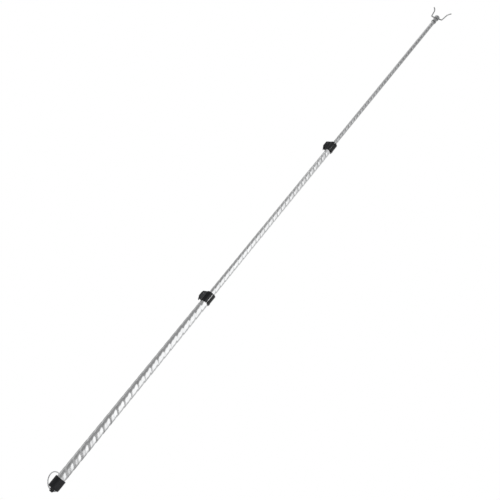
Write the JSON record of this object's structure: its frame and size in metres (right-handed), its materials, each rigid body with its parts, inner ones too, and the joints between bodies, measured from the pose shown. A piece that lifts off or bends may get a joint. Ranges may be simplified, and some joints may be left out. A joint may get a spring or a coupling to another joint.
{
  "type": "telescoping fork pole",
  "caption": "Telescoping steel pole: nested tubes locked by cam-lever collars, a cap with a hanging ring at the butt and a forked wire head at the tip.",
  "frame": {"origin": "flat end of the butt cap's lug, on the pole's centre line", "axes": "+Z along the pole from the butt to the fork, -X towards the lower cam lever"},
  "size_m": [0.0658, 0.0444, 2.0148],
  "materials": {
    "tube_steel": "bright stainless, rolled with a helical dimple pattern",
    "upper_steel": "satin stainless, rolled with a finer helical pattern",
    "fork_steel": "dull zinc-grey steel",
    "ring_wire": "drawn steel wire",
    "pin_steel": "blackened steel",
    "black_nylon": "moulded black nylon with a fine satin grain"
  },
  "bodies": {
    "lower_section": {"lower_tube": "tube_steel", "butt_cap": "black_nylon", "lower_collar": "black_nylon", "lower_guide_bush": "black_nylon", "lower_lever_pin": "pin_steel", "lower_collar_screw": "pin_steel"},
    "ring": {"hang_ring": "ring_wire"},
    "lower_cam": {"lower_lever": "black_nylon"},
    "lower_shoe": {"lower_brake_shoe": "black_nylon"},
    "middle_bush": {"middle_tail_bush": "black_nylon"},
    "middle_section": {"middle_tube": "tube_steel", "upper_collar": "black_nylon", "upper_guide_bush": "black_nylon", "upper_lever_pin": "pin_steel", "upper_collar_screw": "pin_steel"},
    "upper_cam": {"upper_lever": "black_nylon"},
    "upper_shoe": {"upper_brake_shoe": "black_nylon"},
    "upper_bush": {"upper_tail_bush": "black_nylon"},
    "upper_section": {"upper_tube": "upper_steel", "fork_socket": "fork_steel", "socket_band": "fork_steel", "fork_head": "fork_steel", "head_screw": "pin_steel", "fork_wire": "fork_steel"}
  },
  "joints": [
    {"name": "ring_swing", "type": "hinge", "parent": "lower_section", "child": "ring", "pos_m": [0, 0, 0.0035], "axis": [-0.7923, -0.6101, 0], "range_deg": [-6, 304]},
    {"name": "lower_lever_open", "type": "hinge", "parent": "lower_section", "child": "lower_cam", "pos_m": [-0.01955, 0, 0.6505], "axis": [0, 1, 0], "range_deg": [0, 95]},
    {"name": "lower_shoe_travel", "type": "slide", "parent": "lower_section", "child": "lower_shoe", "axis": [-1, 0, 0], "range_m": [0, 0.0008]},
    {"name": "middle_slide", "type": "slide", "parent": "lower_section", "child": "middle_bush", "axis": [0, 0, 1], "range_m": [-0.57, 0]},
    {"name": "middle_turn", "type": "hinge", "parent": "middle_bush", "child": "middle_section", "pos_m": [0, 0, 0.608], "axis": [0, 0, 1], "continuous": true},
    {"name": "upper_lever_open", "type": "hinge", "parent": "middle_section", "child": "upper_cam", "pos_m": [-0.01692, 0.00485, 1.2905], "axis": [0.2756, 0.9613, 0], "range_deg": [0, 95]},
    {"name": "upper_shoe_travel", "type": "slide", "parent": "middle_section", "child": "upper_shoe", "axis": [-0.9613, 0.2756, 0], "range_m": [0, 0.0008]},
    {"name": "upper_slide", "type": "slide", "parent": "middle_section", "child": "upper_bush", "axis": [0, 0, 1], "range_m": [-0.63, 0]},
    {"name": "upper_turn", "type": "hinge", "parent": "upper_bush", "child": "upper_section", "pos_m": [0, 0, 1.25], "axis": [0, 0, 1], "continuous": true}
  ],
  "couplings": [
    {"joint": "lower_shoe_travel", "follows": "lower_lever_open", "m_per_rad": 0.000482},
    {"joint": "upper_shoe_travel", "follows": "upper_lever_open", "m_per_rad": 0.000482}
  ]
}
